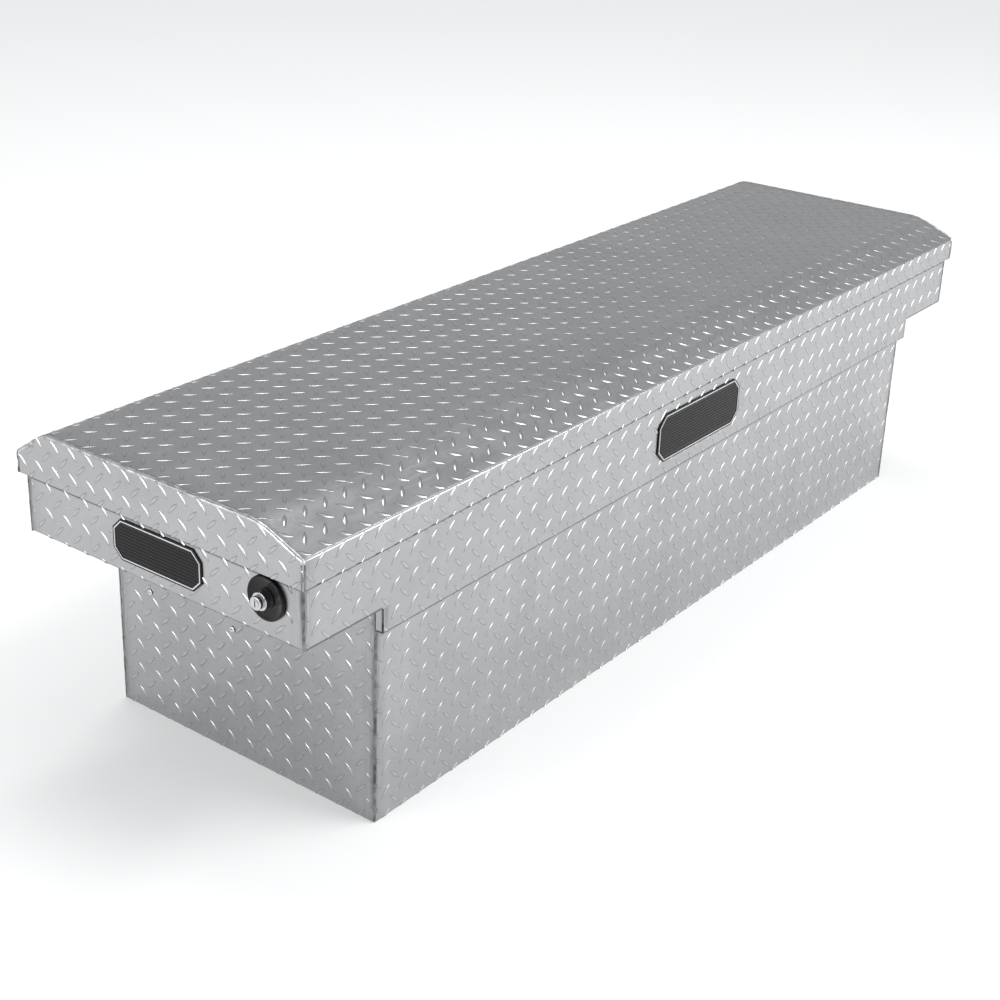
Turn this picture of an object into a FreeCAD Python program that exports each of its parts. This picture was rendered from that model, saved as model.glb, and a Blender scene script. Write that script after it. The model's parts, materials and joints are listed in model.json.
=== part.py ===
import FreeCAD, Part
import math
import os

# Single-lid crossover tool box for a pickup truck, in aluminium tread plate.
# Millimetres. X runs along the box, -Y is the front, +Z is up.
# The origin is at the bottom centre of the whole box.

# ---- driving dimensions ----
LID_LENGTH = 1810.0
LID_DEPTH = 519.0
BODY_LENGTH = 1796.0          # upper body, over both saddle ends
TUB_LENGTH = 1504.0           # lower tub, between the bed rails
SHEET = 2.0
TOP_Z = 484.0
LEDGE_Z = 327.0               # underside of the saddles, which rest on the rails
STEP_Z = 289.0                # lower edge of the front band
SKIRT_Z = 414.0               # lower edge of the lid's skirts
RIM_Z = 445.0
FRONT_FOLD_Z = 454.0
BACK_FOLD_Z = 446.0
FRONT_SLOPE_DEPTH = 72.0
BACK_SLOPE_DEPTH = 56.0
FRONT_OVERHANG = 7.0
BACK_OVERHANG = 9.0
STEP_DEPTH = 13.0             # how far the front band stands out from the tub wall
RIM_FLANGE = 22.0
BEND = 1.5                    # inside radius of a plain sheet bend

RUNNING_GAP = 0.4
PIN_FIT = 0.05
RIVET_HEAD_H = 1.2

LEAF = 1.5                    # hinge leaf thickness
LEAF_CLEAR = 4.2              # hinge axis to the straight edge of a leaf
BODY_LEAF_REACH = 34.0        # hinge axis to the far edge of the body leaf
LID_LEAF_REACH = 26.0
KNUCKLE_R = 3.1
HINGE_PIN_R = 1.5
HINGE_DROP = 4.0              # hinge axis below the skirt's edge
HINGE_OFFSET = 3.5            # hinge axis behind the back wall
HINGE_LENGTH = 1785.0
KNUCKLES = 35
HINGE_RIVETS = 11
HINGE_RIVET_PITCH = 160.0
HINGE_RIVET_R = 2.0
HINGE_RIVET_HEAD_R = 4.0
BODY_RIVET_DROP = 18.0        # body rivets below the hinge axis
LID_RIVET_RISE = 15.0         # lid rivets above it

SEAL_WIDTH = 10.0
SEAL_HEIGHT = 9.0
SEAL_CROWN = 4.2

CHANNEL_SHEET = 1.5
CHANNEL_DEPTH = 20.0
CHANNEL_X = 860.0
CHANNEL_HALF_WIDTHS = (16.0, 20.0, 36.0)   # at its crown, at its foot, over its flanges
FRONT_CHANNEL_Y = -120.0
REAR_CHANNEL_Y = 70.0

LOCK_SETBACK = 59.0           # lock axis behind the front band
LOCK_Z = 381.0
DISH_R = 30.0
SLEEVE_R = 12.0
BUTTON_R = 9.0
BUTTON_COLLAR_R = 10.4
BUTTON_TIP_R = 3.0
PLUG_R = 5.6
PLUG_LENGTH = 14.0
KEYWAY_HALF = (0.8, 4.4)      # half width and half height of the keyway
KEYWAY_DEPTH = 7.6
NUT_ACROSS_FLATS = 31.0
NUT_THICK = 6.0

LATCH_DEPTH = 30.0            # latch pivot inside the end wall
LATCH_Z = 405.0
LATCH_HALF_WIDTH = 18.0       # half the width of the latch bracket
LATCH_PIN_R = 3.0
LATCH_PIN_HEAD_R = 5.0
HOOK_BOSS_R = 6.5
HOOK_HALF = 3.0
STRIKER_DEPTH = 40.0          # outer face of the striker inside the end wall
STRIKER_SHEET = 3.0
STRIKER_HALF_WIDTH = 14.0
STRIKER_FOOT_Z = 422.0
STRIKER_WINDOW = (8.0, 430.0, 446.0)   # half width, lowest z, highest z

STRUT_X = 736.0
STRUT_FOOT = (130.0, 225.0)   # y, z of the strut's lower pivot
STRUT_HEAD = (150.0, 440.0)   # y, z of its upper end with the lid shut
STRUT_STROKE = 95.0
STUD_R = 4.0
SOCKET_R = 8.0
SOCKET_HALF = 6.0
TUBE_R = 9.0
CHAMBER_R = 7.5
ROD_R = 4.0
TUBE_START = 12.0             # along the strut from its lower pivot
TUBE_SHORTFALL = 30.0         # end of the tube short of the upper pivot
GUIDE_LENGTH = 10.0
BRACKET_MARGIN = 15.0
LID_BRACKET_HALF = 17.0
LID_BRACKET_FOOT = 26.0

END_RIVET_SETBACKS = (259.0, 423.0)   # behind the tub's front wall
END_RIVET_Z = 198.0
END_RIVET_R = 2.4
END_RIVET_HEAD_R = 4.6

BADGE_THICK = 1.5
FRONT_BADGE = (240.0, 78.0, 18.0)     # width, height, corner chamfer
END_BADGE = (162.0, 59.0, 15.0)
FRONT_BADGE_Z = 353.5
END_BADGE_Z = 374.5

# ---- places worked out from them ----
LID_BACK_Y = (LID_DEPTH - RIVET_HEAD_H) / 2
LID_FRONT_Y = LID_BACK_Y - LID_DEPTH
BAND_Y = LID_FRONT_Y + FRONT_OVERHANG
FRONT_Y = BAND_Y + STEP_DEPTH
BACK_Y = LID_BACK_Y - BACK_OVERHANG
BODY_X = BODY_LENGTH / 2
TUB_X = TUB_LENGTH / 2
LID_X = LID_LENGTH / 2
WALL_X = BODY_X - SHEET       # inner face of a saddle's end wall
HINGE_Y = BACK_Y + HINGE_OFFSET
HINGE_Z = SKIRT_Z - HINGE_DROP
LID_UNDER_Z = TOP_Z - SHEET
END_RIVET_Y = [FRONT_Y + setback for setback in END_RIVET_SETBACKS]
LOCK_Y = BAND_Y + LOCK_SETBACK
LATCH_X = WALL_X - LATCH_DEPTH
BUTTON_FACE_X = BODY_X + 20.5
SLEEVE_FACE_X = BODY_X + 14.0
SLEEVE_END_X = WALL_X - 16.0
PLUG_END_X = BUTTON_FACE_X + 0.6 - PLUG_LENGTH
TIP_X = WALL_X - 23.3         # rest place of the tip that pushes the latch lever


def vec(x, y, z):
    return FreeCAD.Vector(x, y, z)


def box(x0, x1, y0, y1, z0, z1):
    return Part.makeBox(x1 - x0, y1 - y0, z1 - z0, vec(x0, y0, z0))


def cyl_x(radius, x0, x1, y, z):
    return Part.makeCylinder(radius, x1 - x0, vec(x0, y, z), vec(1, 0, 0))


def cyl_y(radius, y0, y1, x, z):
    return Part.makeCylinder(radius, y1 - y0, vec(x, y0, z), vec(0, 1, 0))


def fuse(shapes):
    return shapes[0].multiFuse(shapes[1:]).removeSplitter()


def cut(shape, tools):
    return shape.cut(Part.makeCompound(tools))


def mirrored(shape):
    return shape.mirror(vec(0, 0, 0), vec(1, 0, 0))


def turned_round_x(points, y, z):
    """Solid of revolution about the line along X through y, z, from (x, radius) points."""
    corners = [vec(x, y, z + r) for x, r in points]
    outline = Part.makePolygon(corners + corners[:1])
    return Part.Face(outline).revolve(vec(0, y, z), vec(1, 0, 0), 360)


def rounded_wire(points, radii):
    """Closed wire through the points, with each corner rounded to its radius."""
    edges = []
    ends = []
    for i, corner in enumerate(points):
        before = (points[i - 1] - corner).normalize()
        after = (points[(i + 1) % len(points)] - corner).normalize()
        if radii[i] == 0:
            ends.append((corner, corner))
            continue
        half = before.getAngle(after) / 2
        reach = radii[i] / math.tan(half)
        centre = corner + (before + after).normalize() * (radii[i] / math.sin(half))
        crown = centre + (corner - centre).normalize() * radii[i]
        start = corner + before * reach
        end = corner + after * reach
        edges.append(Part.Arc(start, crown, end).toShape())
        ends.append((start, end))
    for i, (start, end) in enumerate(ends):
        following = ends[(i + 1) % len(ends)][0]
        edges.append(Part.makeLine(end, following))
    return Part.Wire(Part.__sortEdges__(edges))


def offset_path(path, distance):
    """The path moved sideways to its left, with mitred corners."""
    moved = []
    for i, (a, b) in enumerate(path):
        normals = []
        for j in (i - 1, i):
            if 0 <= j < len(path) - 1:
                da = path[j + 1][0] - path[j][0]
                db = path[j + 1][1] - path[j][1]
                size = math.hypot(da, db)
                normals.append((-db / size, da / size))
        na = sum(n[0] for n in normals) / len(normals)
        nb = sum(n[1] for n in normals) / len(normals)
        scale = distance / (na * na + nb * nb)
        moved.append((a + na * scale, b + nb * scale))
    return moved


def bent_sheet(path, thickness, place, run):
    """A sheet bent along a path and swept along run. place turns a path point into a vector.

    The path is one face of the sheet, and a positive thickness lies to its left.
    """
    near = []
    far = []
    for i in range(len(path)):
        if i in (0, len(path) - 1):
            near.append(0)
            far.append(0)
            continue
        (a0, b0), (a1, b1), (a2, b2) = path[i - 1:i + 2]
        left_turn = (a1 - a0) * (b2 - b1) - (b1 - b0) * (a2 - a1) > 0
        path_is_outside = left_turn == (thickness > 0)
        wide = BEND + abs(thickness)
        near.append(wide if path_is_outside else BEND)
        far.append(BEND if path_is_outside else wide)
    points = [place(*p) for p in path]
    points += [place(*p) for p in reversed(offset_path(path, thickness))]
    wire = rounded_wire(points, near + far[::-1])
    return Part.Face(wire).extrude(run)


def rivet_set(places, axis, grip, shank_r, head_r):
    """Domed rivets whose shanks fill the grip, with a head outside and a tail inside."""
    solids = []
    for place in places:
        shank = Part.makeCylinder(shank_r, grip, place, axis)
        head = Part.makeCylinder(head_r, RIVET_HEAD_H, place + axis * grip, axis)
        tail = Part.makeCylinder(head_r * 0.8, RIVET_HEAD_H, place - axis * RIVET_HEAD_H, axis)
        rim = [e for e in head.Edges if abs(e.CenterOfMass.sub(place).dot(axis) - grip
                                            - RIVET_HEAD_H) < 0.01]
        head = head.makeFillet(RIVET_HEAD_H * 0.8, rim[:1])
        solids.append(fuse([shank, head, tail]))
    return Part.makeCompound(solids)


def shank_holes(places, axis, grip, shank_r):
    return [Part.makeCylinder(shank_r, grip, place, axis) for place in places]


# ---- tub and upper body ----
def side_place(x):
    return lambda y, z: vec(x, y, z)


def front_wall():
    return box(-TUB_X, TUB_X, FRONT_Y, FRONT_Y + SHEET, 0, STEP_Z + SHEET)


def front_band():
    """The band that stands out from the tub's front wall, with the step below it."""
    lower = [(FRONT_Y, STEP_Z), (BAND_Y, STEP_Z), (BAND_Y, LEDGE_Z)]
    upper = [(BAND_Y, LEDGE_Z), (BAND_Y, RIM_Z), (BAND_Y + RIM_FLANGE, RIM_Z)]
    low = bent_sheet(lower, -SHEET, side_place(-TUB_X), vec(TUB_LENGTH, 0, 0))
    high = bent_sheet(upper, -SHEET, side_place(-BODY_X), vec(BODY_LENGTH, 0, 0))
    return fuse([low, high])


def back_panel():
    upper = [(BACK_Y, LEDGE_Z), (BACK_Y, RIM_Z), (BACK_Y - RIM_FLANGE, RIM_Z)]
    high = bent_sheet(upper, SHEET, side_place(-BODY_X), vec(BODY_LENGTH, 0, 0))
    low = box(-TUB_X, TUB_X, BACK_Y - SHEET, BACK_Y, 0, LEDGE_Z)
    return cut(fuse([low, high]), body_rivet_holes())


def floor_panel():
    return box(-TUB_X + SHEET, TUB_X - SHEET, FRONT_Y + SHEET, BACK_Y - SHEET, 0, SHEET)


def end_rivet_places():
    return [vec(TUB_X - 2 * SHEET, y, END_RIVET_Z) for y in END_RIVET_Y]


def end_rivet_holes():
    return shank_holes(end_rivet_places(), vec(1, 0, 0), 2 * SHEET, END_RIVET_R)


def tub_end():
    plate = box(TUB_X - SHEET, TUB_X, FRONT_Y + SHEET, BACK_Y - SHEET, 0, LEDGE_Z + SHEET)
    return cut(plate, end_rivet_holes())


def end_rivets():
    right = rivet_set(end_rivet_places(), vec(1, 0, 0), 2 * SHEET, END_RIVET_R, END_RIVET_HEAD_R)
    return Part.makeCompound(right.Solids + mirrored(right).Solids)


def step_gussets():
    """The plates that close the ends of the step, rounded where the band bends."""
    right = box(TUB_X - SHEET, TUB_X, BAND_Y + SHEET, FRONT_Y + SHEET, STEP_Z + SHEET, LEDGE_Z)
    bend = [e for e in right.Edges if e.BoundBox.YMax < BAND_Y + SHEET + 0.01
            and e.BoundBox.ZMax < STEP_Z + SHEET + 0.01]
    right = right.makeFillet(BEND, bend)
    return Part.makeCompound([right, mirrored(right)])


def saddle():
    y0 = BAND_Y + SHEET
    y1 = BACK_Y - SHEET
    path = [(TUB_X, LEDGE_Z), (BODY_X, LEDGE_Z), (BODY_X, RIM_Z - SHEET)]
    pan = bent_sheet(path, SHEET, lambda x, z: vec(x, y0, z), vec(0, y1 - y0, 0))
    flange = box(BODY_X - RIM_FLANGE, BODY_X, BAND_Y + RIM_FLANGE, BACK_Y - RIM_FLANGE,
                 RIM_Z - SHEET, RIM_Z)
    lock_hole = cyl_x(SLEEVE_R, WALL_X - 1, BODY_X + 1, LOCK_Y, LOCK_Z)
    return fuse([pan, flange]).cut(lock_hole)


def seal_block(inset, corner):
    x = BODY_X - inset
    block = box(-x, x, BAND_Y + inset, BACK_Y - inset, RIM_Z, RIM_Z + SEAL_HEIGHT)
    return block.makeFillet(corner, [e for e in block.Edges if abs(e.tangentAt(0).z) > 0.9])


def rim_seal():
    inset = (RIM_FLANGE - SEAL_WIDTH) / 2
    ring = seal_block(inset, 18.0).cut(seal_block(inset + SEAL_WIDTH, 8.0))
    crown = [e for e in ring.Edges if e.BoundBox.ZMin > RIM_Z + SEAL_HEIGHT - 0.01]
    return ring.makeFillet(SEAL_CROWN, crown)


# ---- hinge ----
def hinge_rivet_places(y, z):
    start = -HINGE_RIVET_PITCH * (HINGE_RIVETS - 1) / 2
    return [vec(start + i * HINGE_RIVET_PITCH, y, z) for i in range(HINGE_RIVETS)]


def body_rivet_places():
    return hinge_rivet_places(BACK_Y - SHEET, HINGE_Z - BODY_RIVET_DROP)


def body_rivet_holes():
    return shank_holes(body_rivet_places(), vec(0, 1, 0), SHEET + LEAF, HINGE_RIVET_R)


def lid_rivet_places():
    return hinge_rivet_places(LID_BACK_Y - SHEET - LEAF, HINGE_Z + LID_RIVET_RISE)


def lid_rivet_holes():
    return shank_holes(lid_rivet_places(), vec(0, 1, 0), SHEET + LEAF, HINGE_RIVET_R)


def knuckle_row(first, bore, tab_y, tab_z):
    """Every second knuckle, each with the tab that joins it to its leaf."""
    pitch = HINGE_LENGTH / KNUCKLES
    shapes = []
    for i in range(first, KNUCKLES, 2):
        x0 = -HINGE_LENGTH / 2 + i * pitch + RUNNING_GAP / 2
        x1 = x0 + pitch - RUNNING_GAP
        tab = box(x0, x1, tab_y, tab_y + LEAF, min(tab_z, HINGE_Z), max(tab_z, HINGE_Z))
        barrel = cyl_x(KNUCKLE_R, x0, x1, HINGE_Y, HINGE_Z)
        shapes += [tab, barrel]
    hole = cyl_x(bore, -HINGE_LENGTH, HINGE_LENGTH, HINGE_Y, HINGE_Z)
    return shapes, hole


def hinge_body_leaf():
    shapes, hole = knuckle_row(0, HINGE_PIN_R, BACK_Y, HINGE_Z - LEAF_CLEAR)
    strip = box(-HINGE_LENGTH / 2, HINGE_LENGTH / 2, BACK_Y, BACK_Y + LEAF,
                HINGE_Z - BODY_LEAF_REACH, HINGE_Z - LEAF_CLEAR)
    leaf = fuse([strip] + shapes).cut(hole)
    return cut(leaf, body_rivet_holes())


def hinge_lid_leaf():
    y0 = LID_BACK_Y - SHEET - LEAF
    shapes, hole = knuckle_row(1, HINGE_PIN_R + PIN_FIT, y0, HINGE_Z + LEAF_CLEAR)
    strip = box(-HINGE_LENGTH / 2, HINGE_LENGTH / 2, y0, y0 + LEAF,
                HINGE_Z + LEAF_CLEAR, HINGE_Z + LID_LEAF_REACH)
    leaf = fuse([strip] + shapes).cut(hole)
    return cut(leaf, lid_rivet_holes())


def hinge_pin():
    return cyl_x(HINGE_PIN_R, -HINGE_LENGTH / 2, HINGE_LENGTH / 2, HINGE_Y, HINGE_Z)


def hinge_rivets(places):
    return rivet_set(places, vec(0, 1, 0), SHEET + LEAF, HINGE_RIVET_R, HINGE_RIVET_HEAD_R)


# ---- lid ----
LID_PATH = [
    (LID_FRONT_Y, SKIRT_Z),
    (LID_FRONT_Y, FRONT_FOLD_Z),
    (LID_FRONT_Y + FRONT_SLOPE_DEPTH, TOP_Z),
    (LID_BACK_Y - BACK_SLOPE_DEPTH, TOP_Z),
    (LID_BACK_Y, BACK_FOLD_Z),
    (LID_BACK_Y, SKIRT_Z),
]
LID_BENDS = [0, 6.0, 110.0, 45.0, 14.0, 0]


def lid_outline(path, bends, x0, x1):
    wire = rounded_wire([vec(x0, y, z) for y, z in path], bends)
    return Part.Face(wire).extrude(vec(x1 - x0, 0, 0))


def lid_hollow():
    """The space that the bent lid sheet closes over."""
    bends = [max(b - SHEET, 0) for b in LID_BENDS]
    path = offset_path(LID_PATH, -SHEET)
    return lid_outline(path, bends, -LID_X + SHEET, LID_X - SHEET)


def lid_skin():
    whole = lid_outline(LID_PATH, LID_BENDS, -LID_X + SHEET, LID_X - SHEET)
    return cut(whole.cut(lid_hollow()), lid_rivet_holes())


def lid_cap():
    return lid_outline(LID_PATH, LID_BENDS, LID_X - SHEET, LID_X)


def lid_channel(centre_y):
    """Hat-section stiffener, open towards the lid."""
    top = LID_UNDER_Z - CHANNEL_SHEET
    low = LID_UNDER_Z - CHANNEL_DEPTH
    half = list(zip(CHANNEL_HALF_WIDTHS, (low, top, top)))
    path = [(centre_y - w, z) for w, z in reversed(half)] + [(centre_y + w, z) for w, z in half]
    return bent_sheet(path, CHANNEL_SHEET, side_place(-CHANNEL_X), vec(2 * CHANNEL_X, 0, 0))


# ---- gas struts, built on the right and mirrored ----
STRUT_RUN = math.hypot(STRUT_HEAD[0] - STRUT_FOOT[0], STRUT_HEAD[1] - STRUT_FOOT[1])
TUBE_END = STRUT_RUN - TUBE_SHORTFALL


def along_strut(shape):
    """Lays a shape built along +Z from the origin along the strut."""
    tilt = math.degrees(math.atan2(STRUT_HEAD[0] - STRUT_FOOT[0], STRUT_HEAD[1] - STRUT_FOOT[1]))
    turn = FreeCAD.Rotation(vec(-1, 0, 0), tilt)
    placed = shape.copy()
    placed.Placement = FreeCAD.Placement(vec(STRUT_X, *STRUT_FOOT), turn)
    return placed


def rod_z(radius, z0, z1):
    return Part.makeCylinder(radius, z1 - z0, vec(0, 0, z0))


def socket(z):
    return Part.makeCylinder(SOCKET_R, 2 * SOCKET_HALF, vec(-SOCKET_HALF, 0, z), vec(1, 0, 0))


def strut_cylinder():
    neck = rod_z(ROD_R + 0.5, STUD_R, TUBE_START + 1)
    tube = rod_z(TUBE_R, TUBE_START, TUBE_END)
    tube = tube.makeFillet(2, [e for e in tube.Edges if e.Length > TUBE_R * 6])
    chamber = rod_z(CHAMBER_R, TUBE_START + 8, TUBE_END - GUIDE_LENGTH)
    guide = rod_z(ROD_R + PIN_FIT, TUBE_END - GUIDE_LENGTH - 1, TUBE_END + 1)
    return along_strut(fuse([socket(0), neck, tube]).cut(chamber).cut(guide))


def strut_rod():
    piston_top = TUBE_END - STRUT_STROKE - GUIDE_LENGTH - 4
    piston = rod_z(CHAMBER_R - PIN_FIT, piston_top - 8, piston_top)
    rod = rod_z(ROD_R, piston_top - 1, STRUT_RUN - 4)
    collar = rod_z(5.5, STRUT_RUN - 16, STRUT_RUN - 5)
    return along_strut(fuse([piston, rod, collar, socket(STRUT_RUN)]))


STUD_TIP_X = STRUT_X + SOCKET_HALF + RUNNING_GAP


def strut_foot_bracket():
    x1 = TUB_X - SHEET
    x0 = x1 - SHEET
    y0 = END_RIVET_Y[0] - BRACKET_MARGIN
    y1 = END_RIVET_Y[1] + BRACKET_MARGIN
    z0 = END_RIVET_Z - BRACKET_MARGIN
    z1 = STRUT_FOOT[1] + BRACKET_MARGIN
    plate = box(x0, x1, y0, y1, z0, z1)
    corners = [e for e in plate.Edges if abs(e.tangentAt(0).x) > 0.9]
    plate = plate.makeFillet(8, corners)
    stud = cyl_x(STUD_R, STUD_TIP_X, x0 + 1, *STRUT_FOOT)
    return cut(fuse([plate, stud]), end_rivet_holes())


def strut_lid_bracket():
    y, z = STRUT_HEAD
    x0 = TUB_X - SHEET
    y0 = y - LID_BRACKET_HALF
    y1 = y + LID_BRACKET_HALF
    ear = box(x0, x0 + SHEET, y0, y1, z - 3 * STUD_R, LID_UNDER_Z)
    foot = box(x0, x0 + LID_BRACKET_FOOT, y0, y1, LID_UNDER_Z - SHEET, LID_UNDER_Z)
    stud = cyl_x(STUD_R, STUD_TIP_X, x0 + 1, y, z)
    return fuse([ear, foot, stud])


# ---- push-button locks and slam latches, built on the right and mirrored ----
def lock_dish():
    """A shallow round cup that frames the button."""
    x = BODY_X
    outline = [(x, SLEEVE_R), (x, DISH_R), (x + 2.6, DISH_R), (x + 4.2, DISH_R - 1.1),
               (x + 4.8, DISH_R - 3), (x + 4.2, DISH_R - 5), (x + 2.6, DISH_R - 9),
               (x + 1.6, DISH_R - 15), (x + 1.4, SLEEVE_R)]
    return turned_round_x(outline, LOCK_Y, LOCK_Z)


def lock_sleeve():
    barrel = cyl_x(SLEEVE_R, SLEEVE_END_X, SLEEVE_FACE_X, LOCK_Y, LOCK_Z)
    rim = [e for e in barrel.Edges if e.BoundBox.XMin > SLEEVE_FACE_X - 0.01]
    barrel = barrel.makeFillet(0.9, rim)
    bore = cyl_x(BUTTON_R + PIN_FIT, SLEEVE_END_X - 1, SLEEVE_FACE_X + 1, LOCK_Y, LOCK_Z)
    return barrel.cut(bore)


def lock_nut():
    corner_r = NUT_ACROSS_FLATS / 2 / math.cos(math.pi / 6)
    corners = []
    for i in range(6):
        turn = i * math.pi / 3
        y = LOCK_Y + corner_r * math.cos(turn)
        z = LOCK_Z + corner_r * math.sin(turn)
        corners.append(vec(WALL_X - NUT_THICK, y, z))
    nut = Part.Face(Part.makePolygon(corners + corners[:1])).extrude(vec(NUT_THICK, 0, 0))
    return nut.cut(cyl_x(SLEEVE_R, WALL_X - NUT_THICK - 1, WALL_X + 1, LOCK_Y, LOCK_Z))


def lock_button():
    body = cyl_x(BUTTON_R, SLEEVE_END_X - 1, BUTTON_FACE_X, LOCK_Y, LOCK_Z)
    rim = [e for e in body.Edges if e.BoundBox.XMin > BUTTON_FACE_X - 0.01]
    body = body.makeFillet(0.8, rim)
    collar = cyl_x(BUTTON_COLLAR_R, SLEEVE_END_X - 2, SLEEVE_END_X - 0.3, LOCK_Y, LOCK_Z)
    tip = cyl_x(BUTTON_TIP_R, TIP_X, SLEEVE_END_X - 1, LOCK_Y, LOCK_Z)
    bore = cyl_x(PLUG_R + PIN_FIT, PLUG_END_X - 0.1, BUTTON_FACE_X + 1, LOCK_Y, LOCK_Z)
    return fuse([body, collar, tip]).cut(bore)


def key_plug():
    face = PLUG_END_X + PLUG_LENGTH
    plug = cyl_x(PLUG_R, PLUG_END_X, face, LOCK_Y, LOCK_Z)
    half_y, half_z = KEYWAY_HALF
    keyway = box(face - KEYWAY_DEPTH, face + 1, LOCK_Y - half_y, LOCK_Y + half_y,
                 LOCK_Z - half_z, LOCK_Z + half_z)
    return plug.cut(keyway)


def latch_bracket():
    y0 = LOCK_Y - LATCH_HALF_WIDTH
    y1 = LOCK_Y + LATCH_HALF_WIDTH
    low = LATCH_Z - 7.5
    base = box(WALL_X - SHEET, WALL_X, y0, y1, low, LATCH_Z + 16)
    ears = [box(LATCH_X - 2 * LATCH_PIN_R, WALL_X - 1, y, y + SHEET, low, LATCH_Z + 8)
            for y in (y0, y1 - SHEET)]
    bore = cyl_y(LATCH_PIN_R, y0 - 1, y1 + 1, LATCH_X, LATCH_Z)
    return fuse([base] + ears).cut(bore)


def latch_pin():
    y0 = LOCK_Y - LATCH_HALF_WIDTH
    pin = cyl_y(LATCH_PIN_R, y0 - 1, LOCK_Y + LATCH_HALF_WIDTH + 2, LATCH_X, LATCH_Z)
    head = cyl_y(LATCH_PIN_HEAD_R, y0 - 2.5, y0, LATCH_X, LATCH_Z)
    return fuse([pin, head])


def latch_hook():
    """Lever with a tooth. Points are inward from the end wall, and up from the pivot."""
    outline = [(23.6, -31), (29, -31), (31.5, -8), (34, -4), (34, 26), (39.4, 26), (34.5, 34),
               (27.5, 34), (27.5, 7), (24, 2), (23.6, -8)]
    corners = [vec(WALL_X - u, LOCK_Y - HOOK_HALF, LATCH_Z + z) for u, z in outline]
    blade = Part.Face(Part.makePolygon(corners + corners[:1])).extrude(vec(0, 2 * HOOK_HALF, 0))
    boss_half = LATCH_HALF_WIDTH - SHEET - RUNNING_GAP
    boss = cyl_y(HOOK_BOSS_R, LOCK_Y - boss_half, LOCK_Y + boss_half, LATCH_X, LATCH_Z)
    bore = cyl_y(LATCH_PIN_R + PIN_FIT, LOCK_Y - LATCH_HALF_WIDTH, LOCK_Y + LATCH_HALF_WIDTH,
                 LATCH_X, LATCH_Z)
    return fuse([blade, boss]).cut(bore)


def striker():
    """Plate with a window, hanging from the underside of the lid beside the tooth."""
    x1 = WALL_X - STRIKER_DEPTH
    x0 = x1 - STRIKER_SHEET
    half, low, high = STRIKER_WINDOW
    plate = box(x0, x1, LOCK_Y - STRIKER_HALF_WIDTH, LOCK_Y + STRIKER_HALF_WIDTH,
                STRIKER_FOOT_Z, TOP_Z)
    window = box(x0 - 1, x1 + 1, LOCK_Y - half, LOCK_Y + half, low, high)
    return plate.common(lid_hollow()).cut(window)


# ---- badges ----
def badge_face(width, height, corner, place):
    w = width / 2
    h = height / 2
    outline = [(-w, -h + corner), (-w + corner, -h), (w - corner, -h), (w, -h + corner),
               (w, h - corner), (w - corner, h), (-w + corner, h), (-w, h - corner)]
    corners = [place(a, b) for a, b in outline]
    return Part.Face(Part.makePolygon(corners + corners[:1]))


def front_badge():
    face = badge_face(*FRONT_BADGE, lambda a, b: vec(a, BAND_Y, FRONT_BADGE_Z + b))
    return face.extrude(vec(0, -BADGE_THICK, 0))


def end_badge():
    middle_y = (BAND_Y + BACK_Y) / 2
    face = badge_face(*END_BADGE, lambda a, b: vec(BODY_X, middle_y + a, END_BADGE_Z + b))
    return face.extrude(vec(BADGE_THICK, 0, 0))


SINGLE_PARTS = {
    "front_wall": front_wall,
    "front_band": front_band,
    "back_panel": back_panel,
    "floor_panel": floor_panel,
    "step_gussets": step_gussets,
    "end_rivets": end_rivets,
    "rim_seal": rim_seal,
    "hinge_body_leaf": hinge_body_leaf,
    "hinge_lid_leaf": hinge_lid_leaf,
    "hinge_pin": hinge_pin,
    "hinge_body_rivets": lambda: hinge_rivets(body_rivet_places()),
    "hinge_lid_rivets": lambda: hinge_rivets(lid_rivet_places()),
    "lid_skin": lid_skin,
    "lid_front_channel": lambda: lid_channel(FRONT_CHANNEL_Y),
    "lid_rear_channel": lambda: lid_channel(REAR_CHANNEL_Y),
    "front_badge": front_badge,
}

PAIRED_PARTS = {
    "tub_end": tub_end,
    "saddle": saddle,
    "lid_cap": lid_cap,
    "strut_cylinder": strut_cylinder,
    "strut_rod": strut_rod,
    "strut_foot_bracket": strut_foot_bracket,
    "strut_lid_bracket": strut_lid_bracket,
    "lock_dish": lock_dish,
    "lock_sleeve": lock_sleeve,
    "lock_nut": lock_nut,
    "lock_button": lock_button,
    "key_plug": key_plug,
    "latch_bracket": latch_bracket,
    "latch_pin": latch_pin,
    "latch_hook": latch_hook,
    "striker": striker,
    "end_badge": end_badge,
}


def write(name, shape):
    if not shape.isValid() or not shape.Solids:
        raise ValueError(name + " is not a valid solid")
    shape.exportStep("parts/" + name + ".step")


def main():
    os.makedirs("parts", exist_ok=True)
    for name, make in SINGLE_PARTS.items():
        write(name, make())
    for name, make in PAIRED_PARTS.items():
        right = make()
        write("right_" + name, right)
        write("left_" + name, mirrored(right))


main()
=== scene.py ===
import json
import math

import bmesh
import bpy
import numpy as np
from mathutils import Matrix, Vector, noise


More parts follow.
